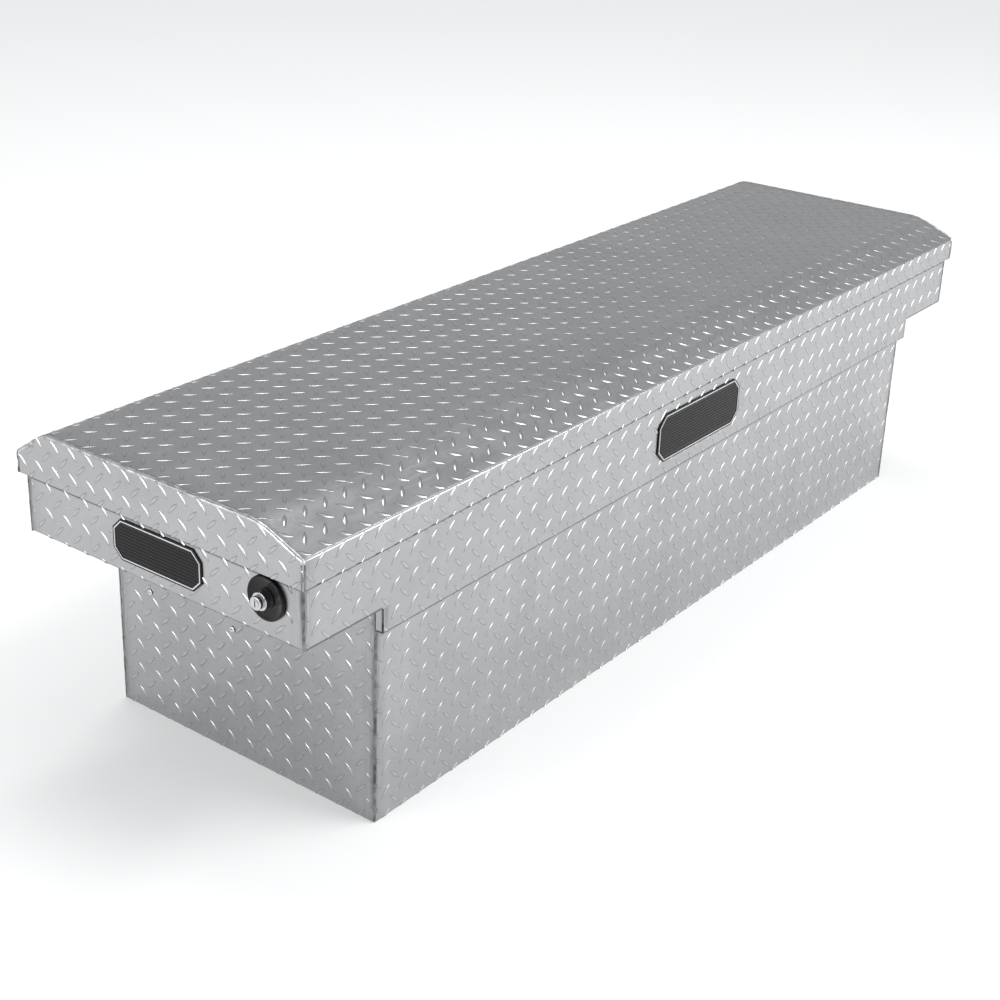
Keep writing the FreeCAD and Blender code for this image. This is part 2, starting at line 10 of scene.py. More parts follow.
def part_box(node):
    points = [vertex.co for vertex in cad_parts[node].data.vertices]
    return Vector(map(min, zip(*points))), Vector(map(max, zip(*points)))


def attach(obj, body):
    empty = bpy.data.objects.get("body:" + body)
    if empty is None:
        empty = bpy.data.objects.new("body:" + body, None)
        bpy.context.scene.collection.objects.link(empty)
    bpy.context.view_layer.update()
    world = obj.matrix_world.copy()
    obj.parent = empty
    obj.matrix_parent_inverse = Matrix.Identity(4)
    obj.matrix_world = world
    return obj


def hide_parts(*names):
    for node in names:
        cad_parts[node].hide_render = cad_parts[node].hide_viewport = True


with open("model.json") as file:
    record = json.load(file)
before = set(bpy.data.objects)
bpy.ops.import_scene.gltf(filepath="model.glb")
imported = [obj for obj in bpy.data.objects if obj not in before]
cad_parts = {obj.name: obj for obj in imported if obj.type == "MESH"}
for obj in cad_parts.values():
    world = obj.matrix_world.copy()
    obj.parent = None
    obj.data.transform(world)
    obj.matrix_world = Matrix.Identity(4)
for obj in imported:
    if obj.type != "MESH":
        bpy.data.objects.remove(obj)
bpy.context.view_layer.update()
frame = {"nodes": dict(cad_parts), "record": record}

# Metres, in the model's own frame: X along the box, -Y front, +Z up.

# ---- places read from the frame ----
LID_LOW, LID_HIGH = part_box("lid_skin")
CAP_LOW, CAP_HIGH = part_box("right_lid_cap")
WALL_LOW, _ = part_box("front_wall")
FRONT_LOW, FRONT_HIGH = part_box("front_band")
_, BACK_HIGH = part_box("back_panel")
SADDLE_LOW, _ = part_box("right_saddle")
END_LOW, END_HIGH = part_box("right_tub_end")

SHEET = 0.002                  # CAD sheet, from the lozenge tops to the inner face
RAISE = 0.0009                 # height of a lozenge
BEND = 0.0015                  # inside radius of a sheet bend
OUTER_BEND = BEND + SHEET

BAND_Y = FRONT_LOW.y
BACK_Y = BACK_HIGH.y
RIM_Z = FRONT_HIGH.z
LEDGE_Z = SADDLE_LOW.z
BODY_X = FRONT_HIGH.x
TUB_X = END_HIGH.x
WALL_Y = WALL_LOW.y
STEP_Z = FRONT_LOW.z
RIM_FLANGE = FRONT_HIGH.y - FRONT_LOW.y
CAP_X = CAP_HIGH.x
TOP_Z = LID_HIGH.z
SKIRT_Z = LID_LOW.z

# The lid's section from the front skirt's lower edge over the top to the back skirt's
FRONT_FOLD_Z = 0.454
BACK_FOLD_Z = 0.446
FRONT_SLOPE_DEPTH = 0.072
BACK_SLOPE_DEPTH = 0.056
LID_PATH = [
    (LID_LOW.y, SKIRT_Z),
    (LID_LOW.y, FRONT_FOLD_Z),
    (LID_LOW.y + FRONT_SLOPE_DEPTH, TOP_Z),
    (LID_HIGH.y - BACK_SLOPE_DEPTH, TOP_Z),
    (LID_HIGH.y, BACK_FOLD_Z),
    (LID_HIGH.y, SKIRT_Z),
]
LID_BENDS = [0, 0.006, 0.110, 0.045, 0.014, 0]     # outer bend radius at each of its corners


# ---- mesh helpers ----
def new_mesh(name, points, faces, smooth_angle=32):
    """A mesh object with smooth faces and sharp edges above the angle."""
    mesh = bpy.data.meshes.new(name)
    mesh.from_pydata(np.asarray(points).tolist(), [], faces)
    body = bmesh.new()
    body.from_mesh(mesh)
    bmesh.ops.recalc_face_normals(body, faces=body.faces)
    body.to_mesh(mesh)
    body.free()
    mesh.shade_smooth()
    mesh.set_sharp_from_angle(angle=math.radians(smooth_angle))
    piece = bpy.data.objects.new(name, mesh)
    bpy.context.scene.collection.objects.link(piece)
    return piece


def place_piece(piece, body, slot, replaced=(), material=None):
    """Gives a piece its body and the material of its slot, and hides the CAD nodes it stands for.
    """
    piece.data.materials.append(material or MATERIALS[slot])
    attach(piece, body)
    if replaced:
        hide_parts(*replaced)


def join(parts):
    """One mesh's points and faces from several."""
    points = []
    faces = []
    for part_points, part_faces in parts:
        faces += [tuple(index + len(points) for index in face) for face in part_faces]
        points += [tuple(point) for point in part_points]
    return points, faces


class Path:
    """A sheet's outer face seen along its bends, as points (a, b) with outward normals.

    radii holds the outer bend radius at each corner. outward is 1 or -1 and says to which
    side of the line the normals point.
    """

    TURN = math.radians(6)     # largest angle between two points of a bend
    MARGIN = 0.0015            # straight stretch kept beside each bend

    def __init__(self, corners, radii, outward):
        self.points = []
        self.tangents = []
        last = len(corners) - 1
        for i, corner in enumerate(corners):
            here = Vector(corner)
            if radii[i] == 0:
                start = corners[i] if i < last else corners[i - 1]
                end = corners[i + 1] if i < last else corners[i]
                self._add(here, Vector(end) - Vector(start))
                continue
            before = (Vector(corners[i - 1]) - here).normalized()
            after = (Vector(corners[i + 1]) - here).normalized()
            self._add_bend(here, before, after, radii[i])
        points = np.array([tuple(p) for p in self.points])
        tangents = np.array([tuple(t) for t in self.tangents])
        self.a, self.b = points.T
        self.na = -outward * tangents[:, 1]
        self.nb = outward * tangents[:, 0]
        steps = np.hypot(np.diff(self.a), np.diff(self.b))
        self.s = np.concatenate([[0], np.cumsum(steps)])

    def _add(self, point, tangent):
        self.points.append(point)
        self.tangents.append(tangent.normalized())

    def _add_bend(self, corner, before, after, radius):
        """An arc that touches both straight sides; before and after point away from the corner."""
        opening = before.angle(after)
        reach = radius / math.tan(opening / 2)
        centre = corner + (before + after).normalized() * (radius / math.sin(opening / 2))
        start = corner + before * reach - centre
        sweep = math.pi - opening
        if before.x * after.y - before.y * after.x > 0:
            sweep = -sweep
        count = max(3, math.ceil(abs(sweep) / self.TURN))
        self._add(corner + before * (reach + self.MARGIN), -before)
        for k in range(count + 1):
            turn = Matrix.Rotation(sweep * k / count, 2)
            self._add(centre + turn @ start, turn @ -before)
        self._add(corner + after * (reach + self.MARGIN), after)

    def at(self, s, height):
        """Positions at distances s along the path, height above the outer face."""
        a = np.interp(s, self.s, self.a) + height * np.interp(s, self.s, self.na)
        b = np.interp(s, self.s, self.b) + height * np.interp(s, self.s, self.nb)
        return a, b


# ---- tread plate ----
# A sheet is laid out flat in (u, s, height): u runs along its bends, s across them on the
# outer face, and height is measured from the lozenges' tops.
LOZENGE_HALF_LENGTH = 0.0135
LOZENGE_HALF_WIDTH = 0.0031
LOZENGE_ROWS = 10
LOZENGE_COLUMNS = 6
LOZENGE_TAPER = 2.0            # powers that shape its outline, its ridge and its cross section
RIDGE_FALL = 2.2
FLANK_FALL = 1.1
SINK = 0.00012                 # how far a lozenge's foot goes into its sheet
DIAGONAL = math.sqrt(0.5)      # lozenges lie at 45 degrees
SMALLEST_FACE = 1e-10          # faces squashed flat at an edge are left out
# How far past an edge a lozenge's centre may lie, as a share of its half length
SHEET_OVERHANG = 0.7
LEDGE_OVERHANG = 0.6
CAP_OVERHANG = 0.5


def lozenge_template():
    """One lozenge along local x: points (x, y, height) and faces, as a closed solid."""
    points = []
    for i in range(LOZENGE_ROWS + 1):
        t = 2 * i / LOZENGE_ROWS - 1
        width = LOZENGE_HALF_WIDTH * (1 - abs(t) ** LOZENGE_TAPER)
        crown = RAISE * (1 - abs(t) ** RIDGE_FALL)
        for j in range(LOZENGE_COLUMNS + 1):
            q = 2 * j / LOZENGE_COLUMNS - 1
            foot_shade = i in (0, LOZENGE_ROWS) or j in (0, LOZENGE_COLUMNS)
            height = -SINK if foot_shade else crown * (1 - q * q) ** FLANK_FALL
            points.append((t * LOZENGE_HALF_LENGTH, q * width, height - RAISE))
    columns = LOZENGE_COLUMNS + 1
    faces = []
    for i in range(LOZENGE_ROWS):
        for j in range(LOZENGE_COLUMNS):
            first = i * columns + j
            faces.append((first, first + columns, first + columns + 1, first + 1))
        left = i * columns
        right = left + LOZENGE_COLUMNS
        faces.append((left, right, right + columns, left + columns))
    return np.array(points), np.array(faces)


class Lattice:
    """Two crossed families of lozenges, the second half a step off both ways."""

    def __init__(self, step_u, step_s, start_u, start_s):
        self.step_u = step_u
        self.step_s = step_s
        self.start_u = start_u
        self.start_s = start_s

    def centres(self, u0, u1, s0, s1):
        """(u, s, lean) of every lozenge that reaches into the rectangle."""
        margin = LOZENGE_HALF_LENGTH * SHEET_OVERHANG
        found = []
        for lean, shift in ((1, 0.0), (-1, 0.5)):
            first_u = math.ceil((u0 - margin - self.start_u) / self.step_u - shift)
            last_u = math.floor((u1 + margin - self.start_u) / self.step_u - shift)
            first_s = math.ceil((s0 - margin - self.start_s) / self.step_s - shift)
            last_s = math.floor((s1 + margin - self.start_s) / self.step_s - shift)
            for i in range(first_u, last_u + 1):
                for j in range(first_s, last_s + 1):
                    u = self.start_u + (i + shift) * self.step_u
                    s = self.start_s + (j + shift) * self.step_s
                    found.append((u, s, lean))
        return np.array(found)


def spread_lozenges(centres, clamp):
    """Points (u, s, height) and faces of every lozenge. clamp moves (u, s) onto the sheet."""
    template, faces = lozenge_template()
    x, y, height = template.T
    u = centres[:, :1] + DIAGONAL * (x - y)
    s = centres[:, 1:2] + centres[:, 2:] * DIAGONAL * (x + y)
    u, s = clamp(u, s)
    count = len(centres)
    points = np.stack([u, s, np.broadcast_to(height, u.shape)], axis=2).reshape(-1, 3)
    first = (np.arange(count) * len(template))[:, None, None]
    flipped = np.where(centres[:, 2] > 0, 1, 0)
    both = np.stack([faces[:, ::-1], faces])
    quads = (both[flipped] + first).reshape(-1, 4)
    a, b, c, d = (points[quads[:, k]] for k in range(4))
    area = np.linalg.norm(np.cross(c - a, d - b), axis=1)
    return points, quads[area > SMALLEST_FACE]


# (distance from a sheet's end, seam share) of the columns of points along each end
SEAM_COLUMNS = [(0.0, 1.0), (0.004, 0.85), (0.009, 0.3), (0.024, 0.0)]
HOLE_SIDES = 48


def strip_solid(path, ends):
    """The plain sheet below the lozenges: points (u, s, height), faces and seam shares.

    ends holds the sheet's two u limits at every point of the path. The seam share is 1
    along the two ends, where the sheet is welded and ground, and fades inwards.
    """
    points = []
    shares = []
    for s, (u0, u1) in zip(path.s, ends):
        row = [(u0 + inset, share) for inset, share in SEAM_COLUMNS]
        row += [(u1 - inset, share) for inset, share in reversed(SEAM_COLUMNS)]
        points += [(u, s, -RAISE) for u, _ in row]
        points += [(u1, s, -SHEET), (u0, s, -SHEET)]
        shares += [share for _, share in row] + [0.0, 0.0]
    loop = 2 * len(SEAM_COLUMNS) + 2
    faces = [tuple(reversed(range(loop)))]
    for i in range(len(path.s) - 1):
        first = loop * i
        for k in range(loop):
            after = (k + 1) % loop
            faces.append((first + k, first + after, first + loop + after, first + loop + k))
    last = loop * (len(path.s) - 1)
    faces.append(tuple(range(last, last + loop)))
    return np.array(points), faces, np.array(shares)


def pierce(points, faces, shares, hole):
    """Cuts a round hole (u, s, radius) through the two flat faces of a strip that hold it.

    Each of these faces is split in two along a line from its first corner through the
    hole to its third corner, and a ring of walls joins the two sides of the sheet.
    """
    u, s, radius = hole
    step = 2 * math.pi / HOLE_SIDES
    kept = []
    rings = []
    for face in faces:
        plan = points[list(face), :2]
        before = (plan.min(axis=0) <= (u - radius, s - radius)).all()
        beyond = (plan.max(axis=0) >= (u + radius, s + radius)).all()
        if len(face) != 4 or not (before and beyond):
            kept.append(face)
            continue
        height = points[face[0], 2]
        ring = [(u + radius * math.cos(k * step), s + radius * math.sin(k * step), height)
                for k in range(HOLE_SIDES)]
        first = len(points)
        points = np.concatenate([points, ring])
        shares = np.concatenate([shares, np.zeros(HOLE_SIDES)])
        (near_u, near_s), (side_u, side_s), (far_u, far_s) = plan[:3] - (u, s)
        rising = (side_u - near_u) * (far_s - near_s) > (side_s - near_s) * (far_u - near_u)
        way = 1 if rising else -1
        start = round(math.atan2(near_s, near_u) / step)
        half = way * (round(math.atan2(far_s, far_u) / step) - start) % HOLE_SIDES
        turn = [first + (start + way * k) % HOLE_SIDES for k in range(HOLE_SIDES + 1)]
        a, b, c, d = face
        kept.append((a, b, c, *turn[half::-1]))
        kept.append((c, d, a, *turn[:half - 1:-1]))
        rings.append((height, way, first))
    (_, way, outer), (_, _, inner) = sorted(rings, reverse=True)
    for k in range(HOLE_SIDES):
        after = (k + way) % HOLE_SIDES
        kept.append((outer + k, outer + after, inner + after, inner + k))
    return points, kept, shares


def clear_of(centres, hole):
    """Which lozenges keep off a round hole."""
    u, s, radius = hole
    gap = np.stack([u - centres[:, 0], s - centres[:, 1]], axis=1)
    along = np.stack([np.ones(len(centres)), centres[:, 2]], axis=1) * DIAGONAL
    reach = np.clip((gap * along).sum(axis=1), -LOZENGE_HALF_LENGTH, LOZENGE_HALF_LENGTH)
    nearest = np.linalg.norm(gap - along * reach[:, None], axis=1)
    return nearest > radius + LOZENGE_HALF_WIDTH


def write_shares(piece, name, values):
    """Stores one number per point, which the material reads by the name."""
    attribute = piece.data.attributes.new(name, "FLOAT", "POINT")
    attribute.data.foreach_set("value", np.asarray(values, dtype=np.float32))


def tread_sheet(name, path, ends, lattice, place, floor_of=None, ground=None, hole=None):
    """A bent sheet of tread plate. place turns (u, a, b) arrays into points.

    floor_of gives the lowest s that each lozenge may reach, ground the share of its height
    that grinding leaves at (u, s), and hole is a round hole as (u, s, radius).
    """
    base, base_faces, seam = strip_solid(path, ends)
    lows, highs = np.array(ends).T
    centres = lattice.centres(lows.min(), highs.max(), 0, path.s[-1])
    if hole:
        base, base_faces, seam = pierce(base, base_faces, seam, hole)
        centres = centres[clear_of(centres, hole)]
    limit = floor_of(centres) if floor_of else np.zeros(len(centres))
    inside = centres[:, 1] > limit - LOZENGE_HALF_LENGTH * LEDGE_OVERHANG
    centres = centres[inside]
    limit = limit[inside]

    def clamp(u, s):
        s = np.clip(s, limit[:, None], path.s[-1])
        return np.clip(u, np.interp(s, path.s, lows), np.interp(s, path.s, highs)), s

    studs, stud_faces = spread_lozenges(centres, clamp)
    if ground:
        share = ground(studs[:, 0], studs[:, 1])
        studs[:, 2] = (studs[:, 2] + RAISE + SINK) * share - RAISE - SINK
    flat = np.concatenate([base, studs])
    a, b = path.at(flat[:, 1], flat[:, 2])
    points = place(flat[:, 0], a, b)
    faces = base_faces + (stud_faces + len(base)).tolist()
    piece = new_mesh(name, points, faces)
    write_shares(piece, "tread_height", np.clip(1 + flat[:, 2] / RAISE, 0, 1))
    near = np.minimum(studs[:, 0] - lows.min(), highs.max() - studs[:, 0])
    offsets, fades = zip(*SEAM_COLUMNS)
    write_shares(piece, "seam", np.concatenate([seam, np.interp(near, offsets, fades)]))
    return piece


def along_x(u, a, b):
    return np.stack([u, a, b], axis=1)


def along_y(u, a, b):
    return np.stack([a, u, b], axis=1)


def along_y_left(u, a, b):
    return np.stack([-a, u, b], axis=1)


# ---- material nodes ----
class Shader:
    """A Principled material that is put together node by node."""

    def __init__(self, name, color, metallic=0.0, roughness=0.5):
        self.material = bpy.data.materials.new(name)
        self.material.use_nodes = True
        self.tree = self.material.node_tree
        self.surface = self.tree.nodes["Principled BSDF"]
        self.set("Base Color", (*color, 1.0))
        self.set("Metallic", metallic)
        self.set("Roughness", roughness)
        self.place = self.tree.nodes.new("ShaderNodeTexCoord").outputs["Object"]
        self.normal = None

    def set(self, socket, value):
        self.surface.inputs[socket].default_value = value

    def link(self, output, socket):
        self.tree.links.new(output, self.surface.inputs[socket])

    def node(self, kind, inputs=(), **settings):
        made = self.tree.nodes.new(kind)
        for key, value in settings.items():
            setattr(made, key, value)
        for key, value in dict(inputs).items():
            if isinstance(value, bpy.types.NodeSocket):
                self.tree.links.new(value, made.inputs[key])
            else:
                made.inputs[key].default_value = value
        return made

    def noise(self, scale, detail=3.0, roughness=0.5, stretch=(1, 1, 1), distortion=0.0):
        moved = self.node("ShaderNodeMapping", {"Vector": self.place, "Scale": stretch})
        inputs = {"Vector": moved.outputs[0], "Scale": scale, "Detail": detail,
                  "Roughness": roughness, "Distortion": distortion}
        return self.node("ShaderNodeTexNoise", inputs).outputs["Fac"]

    def span(self, value, low, high, to_low=0.0, to_high=1.0):
        """Maps low..high to to_low..to_high, and holds it there beyond."""
        inputs = {"Value": value, "From Min": low, "From Max": high,
                  "To Min": to_low, "To Max": to_high}
        return self.node("ShaderNodeMapRange", inputs, clamp=True).outputs["Result"]

    def between(self, value, low, high, soft):
        """1 from low to high, fading to 0 over the soft distance on both sides."""
        rise = self.span(value, low - soft, low)
        return self.math("MULTIPLY", rise, self.span(value, high, high + soft, 1.0, 0.0))

    def math(self, operation, first, second=0.0):
        return self.node("ShaderNodeMath", {0: first, 1: second}, operation=operation).outputs[0]

    def mix(self, share, first, second):
        inputs = {"Factor": share, "A": first, "B": second}
        return self.node("ShaderNodeMix", inputs, data_type="FLOAT").outputs["Result"]

    def mix_color(self, share, first, second):
        made = self.node("ShaderNodeMix", {"Factor": share}, data_type="RGBA")
        for socket, value in ((made.inputs[6], first), (made.inputs[7], second)):
            if isinstance(value, bpy.types.NodeSocket):
                self.tree.links.new(value, socket)
            else:
                socket.default_value = (*value, 1.0)
        return made.outputs[2]

    def attribute(self, name):
        return self.node("ShaderNodeAttribute", attribute_name=name).outputs["Fac"]

    def bump(self, height, distance, strength=1.0):
        inputs = {"Height": height, "Distance": distance, "Strength": strength}
        if self.normal:
            inputs["Normal"] = self.normal
        self.normal = self.node("ShaderNodeBump", inputs).outputs["Normal"]
        self.link(self.normal, "Normal")


# Bands of painted shade where shadow falls: below the lid's edge, under the saddles and at the
# front step
SHADE_BELOW_LID = (-0.0065, -0.0030)       # heights from the lid's edge
SHADE_AT_LEDGE = (-0.0010, 0.0022)         # heights from the saddles' underside
SHADE_AT_STEP = (-0.0010, 0.0036)          # heights from the front step


def painted_edge_shade(m):
    """Painted shade: dark lines below the lid's edge, under the saddles beyond the tub and at the
    front step, where shadow falls.
    """
    axes = m.node("ShaderNodeSeparateXYZ", {"Vector": m.place}).outputs
    wobble = m.span(m.noise(45, detail=3), 0.3, 0.7, -0.0004, 0.0004)
    z = m.math("ADD", axes["Z"], wobble)
    under_lid = m.between(z, *(SKIRT_Z + height for height in SHADE_BELOW_LID), 0.0012)
    ledge = m.between(z, *(LEDGE_Z + height for height in SHADE_AT_LEDGE), 0.0012)
    beyond_tub = m.span(m.math("ABSOLUTE", axes["X"]), TUB_X + 0.001, TUB_X + 0.002)
    step = m.between(z, *(STEP_Z + height for height in SHADE_AT_STEP), 0.0010)
    before_wall = m.span(axes["Y"], WALL_Y - 0.002, WALL_Y - 0.001, 1.0, 0.0)
    lines = m.math("MAXIMUM", under_lid, m.math("MULTIPLY", ledge, beyond_tub))
    return m.math("MAXIMUM", lines, m.math("MULTIPLY", step, before_wall))


def tread_plate():
    """Bright rolled aluminium: smears, faint scratches, slight waves, polished lozenges with a
    painted highlight on their crests, and painted shade at their feet and along the lower edges.
    """
    m = Shader("tread_plate", (0.40, 0.40, 0.41), metallic=1.0)
    height = m.attribute("tread_height")
    cloud = m.noise(9, detail=5, roughness=0.6, distortion=0.6)
    smear = m.noise(55, detail=4, stretch=(0.35, 1, 1), distortion=0.4)
    scratch = m.noise(230, detail=2, stretch=(0.05, 1, 1))
    stained = m.mix_color(m.span(cloud, 0.3, 0.7), (0.370, 0.375, 0.385), (0.425, 0.426, 0.430))
    # Lozenge crests lighter than the sheet: painted highlight on their tops
    lit = m.mix_color(m.span(height, 0.55, 1.0), stained, (0.47, 0.47, 0.47))
    # Dark ring round each lozenge's foot: painted shade where it meets the sheet
    foot_shade = m.math("MULTIPLY", m.span(height, 0.0, 0.05), m.span(height, 0.08, 0.40, 0.8, 0.0))
    lit = m.mix_color(foot_shade, lit, (0.10, 0.10, 0.105))
    # Painted shade below the lid's edge and along the lower folds
    lit = m.mix_color(m.math("MULTIPLY", painted_edge_shade(m), 0.8), lit, (0.10, 0.10, 0.105))
    streak = m.noise(260, detail=3, roughness=0.6, stretch=(1, 1, 0.06))
    ground = m.math("MULTIPLY", m.attribute("seam"), m.span(streak, 0.38, 0.58, 0.25, 1.0))
    m.link(m.mix_color(ground, lit, (0.21, 0.21, 0.215)), "Base Color")
    rough = m.span(smear, 0.3, 0.7, 0.25, 0.36)
    rough = m.math("ADD", rough, m.span(scratch, 0.62, 0.72, 0.0, 0.12))
    rough = m.mix(m.span(height, 0.05, 0.6), rough, 0.15)
    m.link(m.mix(ground, rough, 0.5), "Roughness")
    m.bump(m.noise(7, detail=2), 0.006, 0.3)
    m.bump(m.noise(60, detail=4, roughness=0.6), 0.0006, 0.3)
    m.bump(m.noise(1400, detail=2), 0.00004, 0.5)
    m.bump(m.math("MULTIPLY", m.attribute("seam"), streak), 0.0006, 0.5)
    return m.material


def mill_aluminium():
    """Plain aluminium sheet with rolling marks."""
    m = Shader("plain_aluminium", (0.72, 0.72, 0.73), metallic=1.0)
    grain = m.noise(500, detail=3, stretch=(0.02, 1, 1))
    cloud = m.noise(18, detail=4)
    m.link(m.mix_color(m.span(cloud, 0.3, 0.7), (0.40, 0.40, 0.41), (0.50, 0.50, 0.51)),
           "Base Color")
    m.link(m.span(grain, 0.3, 0.7, 0.28, 0.48), "Roughness")
    m.bump(grain, 0.00005, 0.6)
    return m.material


def weld_metal(name, dark, bright, roughness):
    """Weld metal that was ground back: bright patches, dull pits and grinding marks."""
    m = Shader(name, (0.5, 0.5, 0.5), metallic=1.0)
    marks = m.noise(420, detail=4, roughness=0.7, stretch=(1, 1, 0.25))
    patch = m.noise(70, detail=4, roughness=0.6)
    m.link(m.mix_color(m.span(patch, 0.38, 0.62), (dark, dark, dark * 1.02),
                       (bright, bright, bright)), "Base Color")
    m.link(m.span(marks, 0.3, 0.7, roughness, roughness + 0.3), "Roughness")
    m.bump(patch, 0.0008, 0.5)
    m.bump(marks, 0.00015, 0.6)
    return m.material


def satin_rivet():
    """Rivet heads and the badges' bright line."""
    m = Shader("rivet_metal", (0.66, 0.66, 0.67), metallic=1.0)
    cloud = m.noise(300, detail=3)
    m.link(m.span(cloud, 0.3, 0.7, 0.2, 0.42), "Roughness")
    m.bump(cloud, 0.00008, 0.4)
    return m.material


def seal_rubber():
    """Dull black rubber with a little dust."""
    m = Shader("seal_rubber", (0.018, 0.018, 0.019))
    cloud = m.noise(90, detail=4)
    m.link(m.mix_color(m.span(cloud, 0.4, 0.75), (0.014, 0.014, 0.015), (0.045, 0.044, 0.042)),
           "Base Color")
    m.link(m.span(cloud, 0.3, 0.7, 0.55, 0.8), "Roughness")
    m.bump(m.noise(1600, detail=2), 0.00006, 0.6)
    return m.material


def gloss_black(name, roughness):
    """Black plastic or paint, from glossy to satin."""
    m = Shader(name, (0.007, 0.007, 0.008))
    cloud = m.noise(60, detail=4)
    m.link(m.span(cloud, 0.35, 0.7, roughness, roughness + 0.08), "Roughness")
    m.set("Specular IOR Level", 0.22)
    m.bump(m.noise(900, detail=2), 0.00002, 0.4)
    return m.material


def bright_chrome(name, color):
    """Polished metal with faint fingerprints."""
    m = Shader(name, color, metallic=1.0)
    cloud = m.noise(400, detail=3)
    m.link(m.span(cloud, 0.35, 0.7, 0.08, 0.2), "Roughness")
    m.bump(m.noise(1200, detail=2), 0.00001, 0.4)
    return m.material


def zinc_plate():
    """Zinc-plated steel with a bluish and yellowish cast."""
    m = Shader("zinc_steel", (0.60, 0.60, 0.60), metallic=1.0)
    cloud = m.noise(45, detail=5, distortion=0.5)
    m.link(m.mix_color(m.span(cloud, 0.35, 0.7), (0.50, 0.52, 0.55), (0.68, 0.66, 0.58)),
           "Base Color")
    m.link(m.span(cloud, 0.3, 0.7, 0.28, 0.45), "Roughness")
    m.bump(m.noise(700, detail=3), 0.00004, 0.5)
    return m.material


MATERIALS = {
    "tread_plate": tread_plate(),
    "plain_aluminium": mill_aluminium(),
    "rivet_metal": satin_rivet(),
    "seal_rubber": seal_rubber(),
    "badge_face": gloss_black("badge_face", 0.22),
    "black_plastic": gloss_black("black_plastic", 0.1),
    "lock_chrome": bright_chrome("lock_chrome", (0.56, 0.56, 0.57)),
    "zinc_steel": zinc_plate(),
    "black_paint": gloss_black("black_paint", 0.3),
    "rod_steel": bright_chrome("rod_steel", (0.74, 0.74, 0.76)),
}
SEAM_WELD = weld_metal("seam_weld", 0.10, 0.27, 0.36)
PATCH_WELD = weld_metal("patch_weld", 0.06, 0.20, 0.45)
LID_WELD = weld_metal("lid_weld", 0.52, 0.92, 0.18)
EDGE_WELD = weld_metal("edge_weld", 0.30, 0.60, 0.28)


def paint_cad_nodes():
    """Every CAD node takes the material of its slot."""
    for part in frame["record"]["subparts"]:
        mesh = frame["nodes"][part["node"]].data
        mesh.materials.clear()
        mesh.materials.append(MATERIALS[part["material_slot"]])


# ---- the plates ----
FRONT_LATTICE = Lattice(0.0366, 0.0385, start_u=0.003, start_s=0.037)
END_LATTICE = Lattice(0.0367, 0.0395, start_u=0.0245, start_s=0.024)
LID_LATTICE = Lattice(0.0355, 0.0350, start_u=0.0125, start_s=0.031)
CAP_LATTICE = Lattice(0.0340, 0.0370, start_u=0.010, start_s=0.4345)
CUT = 0.00001                  # height over which a sheet's width jumps
GRIND_START = 0.002            # lozenges this near a welded corner are ground away
GRIND_REACH = 0.008            # and get back their full height over this distance
SAME_POINT = 1e-7              # ring points closer than this have no edge between them
LID_OUTLINE = Path(LID_PATH, LID_BENDS, 1)


def ground_near(limit):
    """Share of the height left to a lozenge, by its distance from the sheet's ends."""
    return lambda u, s: np.clip((limit - abs(u) - GRIND_START) / GRIND_REACH, 0.0, 1.0)


def flange_inset(path):
    """How far each point of the path lies behind the wall that the flange folds from."""
    return np.abs(path.a - path.a[np.argmax(np.abs(path.a))])


def wide_ends(path):
    """Ends of a front or back sheet: tub width below the ledge, then body width."""
    inset = np.where(path.b > LEDGE_Z + CUT, flange_inset(path), 0.0)
    half = np.where(path.b < LEDGE_Z + CUT / 2, TUB_X, BODY_X) - RAISE - inset
    return np.stack([-half, half], axis=1)


def ledge_limit(path):
    """Lozenges beyond the tub's ends stop at the ledge."""
    ledge_s = path.s[np.argmax(path.b > LEDGE_Z + CUT / 2)]
    return lambda centres: np.where(np.abs(centres[:, 0]) > TUB_X, ledge_s, 0.0)


def make_front():
    """The tub's front wall, and the folded sheet of the step, the band and the rim."""
    wall = Path([(WALL_Y, 0), (WALL_Y, STEP_Z)], [0, 0], 1)
    ends = np.tile([RAISE - TUB_X, TUB_X - RAISE], (len(wall.s), 1))
    piece = tread_sheet("front_wall_tread", wall, ends, FRONT_LATTICE, along_x,
                        ground=ground_near(TUB_X))
    place_piece(piece, "tub", "tread_plate", ["front_wall"])
    corners = [(WALL_Y, STEP_Z), (BAND_Y, STEP_Z), (BAND_Y, LEDGE_Z), (BAND_Y, LEDGE_Z + CUT),
               (BAND_Y, RIM_Z), (BAND_Y + RIM_FLANGE, RIM_Z)]
    band = Path(corners, [0, OUTER_BEND, 0, 0, OUTER_BEND, 0], 1)
    piece = tread_sheet("front_band_tread", band, wide_ends(band), FRONT_LATTICE, along_x,
                        ledge_limit(band), ground_near(BODY_X))
    place_piece(piece, "tub", "tread_plate", ["front_band"])


def make_back():
    """The flat back with its rim flange."""
    corners = [(BACK_Y, 0), (BACK_Y, LEDGE_Z), (BACK_Y, LEDGE_Z + CUT),
               (BACK_Y, RIM_Z), (BACK_Y - RIM_FLANGE, RIM_Z)]
    path = Path(corners, [0, 0, 0, OUTER_BEND, 0], -1)
    piece = tread_sheet("back_tread", path, wide_ends(path), FRONT_LATTICE, along_x,
                        ledge_limit(path), ground_near(BODY_X))
    place_piece(piece, "tub", "tread_plate", ["back_panel"])


